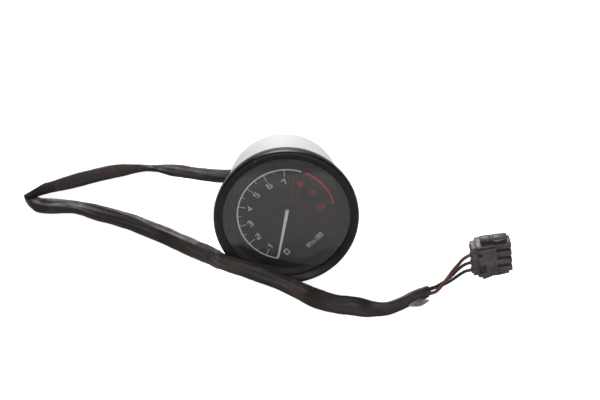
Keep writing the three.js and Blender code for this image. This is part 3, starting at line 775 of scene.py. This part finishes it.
# ---- Dial printing ------------------------------------------------------------------------
SCALE_ZERO = 225.4
SCALE_STEP = 25.5
ARC_R = 32.2
NUMERAL_R = {0: 27.0, 1: 25.0, 2: 24.2, 3: 24.6, 4: 24.6, 5: 24.2}
INNER_NUMERAL_R = 23.6  # from 6 on
NUMERAL = {"height": 3.5, "width": 2.5, "gap": 0.9, "stroke_w": 0.6, "slant": 0.12}
CAPTION = {"height": 3.2, "width": 0.62, "gap": 1.12, "stroke_w": 0.38, "slant": 0.3}
CAPTION_Y = -26.6
FIRST_RED = 8
DIGITS = {
    "0": [[(0, 0), (1, 0), (1, 1), (0, 1), (0, 0)]],
    "1": [[(0.1, 0.75), (0.6, 1), (0.6, 0)]],
    "2": [[(0, 1), (1, 1), (1, 0.55), (0, 0.4), (0, 0), (1, 0)]],
    "3": [[(0, 1), (1, 1), (1, 0), (0, 0)], [(0.25, 0.52), (1, 0.52)]],
    "4": [[(0.75, 0), (0.75, 1), (0, 0.3), (1.05, 0.3)]],
    "5": [[(1, 1), (0, 1), (0, 0.55), (1, 0.55), (1, 0), (0, 0)]],
    "6": [[(0.9, 1), (0, 1), (0, 0), (1, 0), (1, 0.55), (0, 0.55)]],
    "7": [[(0, 1), (1, 1), (0.4, 0)]],
    "8": [[(0, 0), (1, 0), (1, 1), (0, 1), (0, 0)], [(0, 0.52), (1, 0.52)]],
    "9": [[(1, 0.45), (0, 0.45), (0, 1), (1, 1), (1, 0), (0.1, 0)]],
    "R": [[(0, 0), (0, 1), (1, 1), (1, 0.5), (0, 0.5)], [(0.4, 0.5), (1, 0)]],
    "P": [[(0, 0), (0, 1), (1, 1), (1, 0.5), (0, 0.5)]],
    "M": [[(0, 0), (0, 1), (0.5, 0.45), (1, 1), (1, 0)]],
    "x": [[(0, 0), (1, 0.7)], [(0, 0.7), (1, 0)]],
}


def stroke(bm, points, width):
    """A flat ribbon along points with mitred corners, standing just proud of the dial."""
    points = [Vector((*p, 0)) for p in points]
    closed = (points[0] - points[-1]).length < 1e-6
    if closed:
        points = points[:-1]
    n = len(points)
    up = Vector((0, 0, 1))
    pairs = []
    for i, p in enumerate(points):
        before = points[i - 1] if (i or closed) else None
        after = points[(i + 1) % n] if (i < n - 1 or closed) else None
        d1 = (p - before).normalized() if before is not None else None
        d2 = (after - p).normalized() if after is not None else None
        d1, d2 = d1 or d2, d2 or d1
        normal = up.cross((d1 + d2).normalized() if (d1 + d2).length > 1e-6 else d1)
        reach = width / 2 / max(0.5, normal.dot(up.cross(d1)))
        pairs.append((p + normal * reach, p - normal * reach))
    low, high = DIAL_Z + 0.005, DIAL_Z + DIAL_PRINT
    quads = [[bm.verts.new((q.x, q.y, z)) for q in pair for z in (low, high)] for pair in pairs]
    spans = list(zip(quads, quads[1:] + ([quads[0]] if closed else [])))
    for a, b in spans if closed else spans[:n - 1]:
        bm.faces.new((a[1], b[1], b[3], a[3]))
        bm.faces.new((a[0], a[2], b[2], b[0]))
        bm.faces.new((a[0], b[0], b[1], a[1]))
        bm.faces.new((a[2], a[3], b[3], b[2]))
    if not closed:
        for q in (quads[0], quads[-1]):
            bm.faces.new((q[0], q[1], q[3], q[2]))


def arc(bm, r, start, end, width):
    steps = max(4, round(abs(end - start) / 1.5))
    stroke(bm, [polar(r, start + (end - start) * i / steps) for i in range(steps + 1)], width)


def at_scale(n):
    return SCALE_ZERO - SCALE_STEP * n


def glyphs(bm, text, centre, height, width, gap, stroke_w, slant):
    total = len(text) * width + (len(text) - 1) * gap
    x = centre[0] - total / 2
    for ch in text:
        for line in DIGITS[ch]:
            stroke(bm, [
                (x + px * width + (py - 0.5) * slant, centre[1] + (py - 0.5) * height)
                for px, py in line
            ], stroke_w)
        x += width + gap


def print_dial():
    white, red, dim = bmesh.new(), bmesh.new(), bmesh.new()
    arc(white, ARC_R, at_scale(0.43), at_scale(7.8), 0.95)
    arc(red, ARC_R, at_scale(8.02), at_scale(10.08), 1.5)
    for i in range(1, 21):
        n = i / 2
        whole = i % 2 == 0
        if FIRST_RED - 1 < n < FIRST_RED:
            continue
        inner = ARC_R - 0.5 - (4.4 if whole else 2.1)
        into = white if n < FIRST_RED else (dim if n > 8.6 else red)
        stroke(into, [polar(ARC_R - 0.4, at_scale(n)), polar(inner, at_scale(n))],
               0.42 if whole else 0.34)
    for n in range(11):
        place = polar(NUMERAL_R.get(n, INNER_NUMERAL_R), at_scale(10.12 if n == 10 else n))
        glyphs(white if n < FIRST_RED else red, str(n), place, **NUMERAL)
    # the thin wedge that marks where the red begins
    stroke(dim, [polar(29, at_scale(7.49)), polar(10.1, at_scale(7.78)),
                 polar(11.2, at_scale(8.4)), polar(26, at_scale(8.05))], 0.5)
    glyphs(white, "RPMx1000", (0, CAPTION_Y), **CAPTION)
    publish("dial_print_white", white, "ink_white", DIAL_FRAME)
    publish("dial_print_red", red, "ink_red", DIAL_FRAME)
    publish("dial_print_dim", dim, "ink_dim_red", DIAL_FRAME)


case()
needle()
print_dial()


# ---- Back of the gauge --------------------------------------------------------------------
REAR_Z = -58
STUDS = ((22, -10), (-22, -10))
BULBS = ((0, 20), (0, -22))
CABLE_EXIT = (-15.6, 8.5)


def cup():
    publish("cup_shell", lathe([
        (35.6, REAR_Z), (36.4, REAR_Z), (37.6, -57.5), (38, -56.2), (38.6, -46), (38.85, -45.6),
        (38.7, -45.1), (40.2, -14), (41.4, -12), (41.4, -11.4), (44.6, -11.4), (44.6, -8.4),
        (38.6, -8.4), (38.6, -11.7), (37.6, -11.7), (36.2, -55.8), (35.6, -55.8),
    ], steps=176, radius=0.35), "pale_plastic", DIAL_FRAME, replaces="housing_cup", sharp=45)
    holes = [(3, c) for c in STUDS] + [(6.4, c) for c in (*BULBS, CABLE_EXIT)]
    wall = perforated(circle(35.55, 160), holes, REAR_Z, -55.8)
    for r in (33.2, 27.5):  # moulded ribs on the rear wall
        lathe([(r - 0.5, REAR_Z + 0.2), (r - 0.4, REAR_Z - 0.35), (r + 0.4, REAR_Z - 0.35),
               (r + 0.5, REAR_Z + 0.2)], steps=120, bm=wall)
    publish("cup_rear_wall", wall, "pale_plastic", DIAL_FRAME)


STUD_R = 2.5
THREAD_DEPTH = 0.42
THREAD_PITCH = 0.8


def threaded(centre, low, high):
    """An M5 thread along Z, with a chamfer at its low end."""
    sides, per_turn, chamfer = 24, 8, 0.6
    rows = round((high - low) / THREAD_PITCH * per_turn)
    loops = []
    for i in range(rows + 1):
        z = low + (high - low) * i / rows
        end = min(STUD_R, STUD_R - chamfer + (z - low))
        loop = []
        for k in range(sides):
            groove = THREAD_DEPTH * abs(2 * ((z / THREAD_PITCH - k / sides) % 1) - 1)
            x, y = polar(min(end, STUD_R - groove), 360 * k / sides)
            loop.append((centre[0] + x, centre[1] + y, z))
        loops.append(loop)
    return loft(loops)


def rear_fixings():
    hexagon = rounded([polar(8 / math.sqrt(3), 60 * k) for k in range(6)], 0.5, 3)
    for i, (x, y) in enumerate(STUDS, start=1):
        stud = threaded((x, y), -71.66, -62.5)
        lathe([(0, -62.5), (2.45, -62.5), (2.45, -55.5), (5, -55.5), (5, -53), (0, -53)],
              steps=36, radius=0.15, centre=(x, y), bm=stud)
        publish(f"stud_{i}", stud, "steel", DIAL_FRAME, replaces=f"mount_stud_{i}", sharp=50)
        publish(f"bush_{i}", lathe([
            (3, -58.3), (8, -58.3), (8, -60.2), (7.5, -60.8), (8, -61.4), (8, -63.4), (3, -63.4),
        ], steps=56, radius=0.5, centre=(x, y)), "rubber_black", DIAL_FRAME,
            replaces=f"mount_bush_{i}")
        nut = perforated([(x + px, y + py) for px, py in hexagon], [(2.62, (x, y))], -69, -64.6)
        lathe([(2.62, -65), (5, -65), (6.9, -64.3), (7.2, -64), (7.2, -63.7), (2.62, -63.7)],
              steps=56, radius=0.15, centre=(x, y), bm=nut)
        publish(f"nut_{i}", nut, "steel", DIAL_FRAME, replaces=f"mount_nut_{i}", sharp=30)
    for i, (x, y) in enumerate(BULBS, start=1):
        holder = lathe([
            (0, -64), (4.6, -64), (5, -63.6), (5, -60.3), (8, -60.3), (8, -58.3), (6, -58.3),
            (6, -48), (5.4, -47), (0, -47),
        ], steps=56, radius=0.4, centre=(x, y))
        box((x - 6.4, y - 0.9, -66), (x + 6.4, y + 0.9, -60.5), 0.5, 3, bm=holder)
        for k in range(10):
            gx, gy = polar(5.05, 36 * k + 18)
            box((x + gx - 0.35, y + gy - 0.35, -63.4), (x + gx + 0.35, y + gy + 0.35, -60.5),
                0.15, 2, bm=holder)
        publish(f"holder_{i}", holder, "black_plastic", DIAL_FRAME, replaces=f"bulb_holder_{i}")
    publish("grommet", lathe([
        (0, -63.7), (6.2, -63.7), (6.7, -62.2), (6.4, -61.8), (7, -60.6), (8.4, -60.2),
        (8.4, -58.3), (6.1, -58.3), (6.1, -55.5), (7.4, -55.5), (7.4, -53.5), (0, -53.5),
    ], steps=64, radius=0.4, centre=CABLE_EXIT), "rubber_black", DIAL_FRAME,
        replaces="cable_grommet")


cup()
rear_fixings()


# ---- Connector ----------------------------------------------------------------------------
PITCH = 6.35
CAVITIES = [n * PITCH for n in (1.5, 0.5, -0.5, -1.5)]
UPRIGHT = Matrix.Rotation(math.pi / 2, 4, "X")  # turns an (x, z) outline upright


def plug():
    shell = soft_block([
        (0, 4.5, 10.8, 0.8), (0.3, 5, 11.3, 0.9), (2.8, 5, 11.3, 0.9), (3, 5.2, 11.5, 0.9),
        (3, 5.6, 12, 0.9), (3.4, 6, 12.4, 0.9), (15.2, 6, 12.4, 0.9), (15.6, 5.6, 12, 0.9),
    ])
    for z in CAVITIES:
        soft_block([
            (15, 5.1, 2.05, 1.2), (25.2, 5.2, 2.1, 1.25), (26, 5.05, 2, 1.1),
            (26.4, 4.6, 1.85, 0.9), (26.4, 1.9, 1.75, 0.3), (26.1, 1.6, 1.6, 0.25),
            (16, 1.6, 1.6, 0.25),
        ], z, bm=shell)
        pipe([(0.4, 2.5), (-0.5, 2.5), (-0.75, 2.3), (-0.75, 1.75), (-0.5, 1.5), (2.6, 1.5)],
             (0, z), bm=shell)
        for y in (-5.3, 5.3):  # a rail along each broad side of a cavity
            box((17.4, y - 0.25, z - 0.5), (25.2, y + 0.25, z + 0.5), 0.18, 2, bm=shell)
    for z in (-11.9, 11.9):
        box((3.6, -6.4, z - 0.35), (15.3, 6.4, z + 0.35), 0.2, 2, bm=shell)
    for side in (-1, 1):
        low, high = sorted((side * 12.1, side * 12.55))
        box((13, -2.5, low), (15, 2.5, high), 0.1, 1, bm=shell)
    for z in (-8.5, -3.2, 3.2, 8.5):  # sink ribs on the far side
        box((4, 5.7, z - 0.45), (15, 6.35, z + 0.45), 0.2, 2, bm=shell)
    return publish("plug_shell", shell, "connector_black", PLUG_FRAME, sharp=34,
                   replaces="connector_housing")


def windows():
    """Dark boxes of painted shade that fill the openings the lock plate leaves free, darker than the shell around
    them.
    """
    dark = box((3.8, -6.3, 5.2), (6.4, -5.8, 8.2), 0.1, 1)
    box((3.8, -6.3, -9.6), (8.6, -5.8, -2.1), 0.1, 1, bm=dark)
    for z in (-8.2, -6.2, -4.2):  # ribs across the larger one
        box((3.9, -6.34, z - 0.2), (8.5, -6.2, z + 0.2), 0.05, 1, bm=dark)
    return publish("lock_windows_painted_shade", dark, "black_plastic", PLUG_FRAME)


def lock_plate():
    plate = prism([
        (4, 11), (4, 8), (6.3, 8), (6.3, 5.4), (4, 5.4), (4, -2.2), (8.5, -2.2), (8.5, -9.5),
        (15.9, -9.5), (15.9, 11),
    ], 6.35, 7.6, 0.3, 2)
    prism([
        (12.2, 9.4), (13, 9.4), (14.4, 4), (14.9, -1), (14.6, -8.3), (13.8, -8.3), (14, -1),
        (13.5, 4),
    ], 7.5, 8.0, 0.18, 2, bm=plate)
    prism(rounded([(7.6, -1), (12.2, -1), (12.2, 7.4), (7.6, 7.4)], 0.9), 7.5, 7.85, 0.15, 2, bm=plate)
    prism(circle(0.8, 20, (11, -5.6)), 7.5, 7.9, 0.15, 2, bm=plate)
    return publish("lock_plate", plate, "connector_black", PLUG_FRAME @ UPRIGHT, body="lock",
                   replaces="terminal_lock", sharp=34)


def latch(side):
    """A rocker arm: grip at the back, foot in the middle and a hooked nose."""
    flare = 1.3 if side < 0 else 0.0
    arm = prism([(x, side * z) for x, z in [
        (6.3, 13.6 + flare), (13.1, 13.6), (13.1, 12.85), (14.9, 12.85), (14.9, 13.6),
        (22.4, 13.6), (22.8, 12.7), (24.4, 13.1), (24.4, 15.1), (15.6, 15.9), (14.6, 15.2),
        (13.4, 15.2), (12.4, 15.9), (6.9, 15.9 + flare), (6.3, 15.2 + flare),
    ]][::side], -2.5, 2.5, 0.3, 2)
    for x in (7.6, 9, 10.4):
        rise = flare * (13.4 - x) / 7
        low, high = sorted((side * (15.6 + rise), side * (16.15 + rise)))
        prism([(x - 0.35, low), (x + 0.35, low), (x + 0.35, high), (x - 0.35, high)], -2.2, 2.2,
              0.15, 2, bm=arm)
    low, high = sorted((side * 14.6, side * 15.6))
    prism([(13.6, low), (14.4, low), (14.4, high), (13.6, high)], -2.9, 2.9, 0.2, 2, bm=arm)
    name = "upper" if side > 0 else "lower"
    return publish(f"latch_{name}_arm", arm, "connector_black", PLUG_FRAME @ UPRIGHT,
                   body=f"latch_{name}", replaces=f"latch_arm_{name}", sharp=34)


# the plug includes the dark boxes of painted shade that sit in the lock plate's openings
PLUG = [plug(), windows(), lock_plate(), latch(1), latch(-1)]


# ---- CAD nodes that stay ------------------------------------------------------------------
def finish_cad_nodes():
    for part in frame["record"]["subparts"]:
        node = frame["nodes"][part["node"]]
        node.data.materials.clear()
        node.data.materials.append(MATS[part["material_slot"]].mat)


finish_cad_nodes()


# ---- Studio -------------------------------------------------------------------------------
FLOOR_GLOW = 0.85
WORLD_STRENGTH = 0.11
LAMPS = (  # name, place, size in metres, watts
    ("key", (-0.05, 0.83, 0.78), 0.5, 11.0),
    ("fill", (0.1, -1.0, 0.5), 0.6, 4.4),
)


def studio():
    bm = bmesh.new()
    bmesh.ops.create_grid(bm, x_segments=1, y_segments=1, size=4)
    me = bpy.data.meshes.new("floor")
    bm.to_mesh(me)
    bm.free()
    floor = bpy.data.objects.new("floor", me)
    floor.location.z = -0.0002
    bpy.context.scene.collection.objects.link(floor)
    f = Finish("floor_white")
    f.colour(f.mix(f.noise(3, 2), (0.90, 0.86, 0.865), (0.92, 0.88, 0.885)))
    # seen directly the floor is a bright white sweep; what it throws on the part is only
    # the light that falls on it
    seen = f.nt.nodes.new("ShaderNodeLightPath").outputs["Is Camera Ray"]
    f.link(f.math("MULTIPLY", seen, FLOOR_GLOW), f.bsdf.inputs["Emission Strength"])
    f.set(Roughness=0.9, Emission_Color=(1, 1, 1, 1), Specular_IOR_Level=0.1)
    me.materials.append(f.mat)

    world = bpy.data.worlds.new("studio")
    world.use_nodes = True
    background = world.node_tree.nodes["Background"]
    background.inputs["Color"].default_value = (1, 1, 1, 1)
    background.inputs["Strength"].default_value = WORLD_STRENGTH
    bpy.context.scene.world = world
    for name, place, size, power in LAMPS:
        data = bpy.data.lights.new(name, "AREA")
        data.shape = "SQUARE"
        data.size = size
        data.energy = power
        lamp = bpy.data.objects.new(name, data)
        lamp.location = place
        lamp.rotation_mode = "QUATERNION"
        lamp.rotation_quaternion = (-Vector(place)).to_track_quat("-Z", "Y")
        bpy.context.scene.collection.objects.link(lamp)
    bpy.context.scene.view_settings.view_transform = "Standard"


studio()
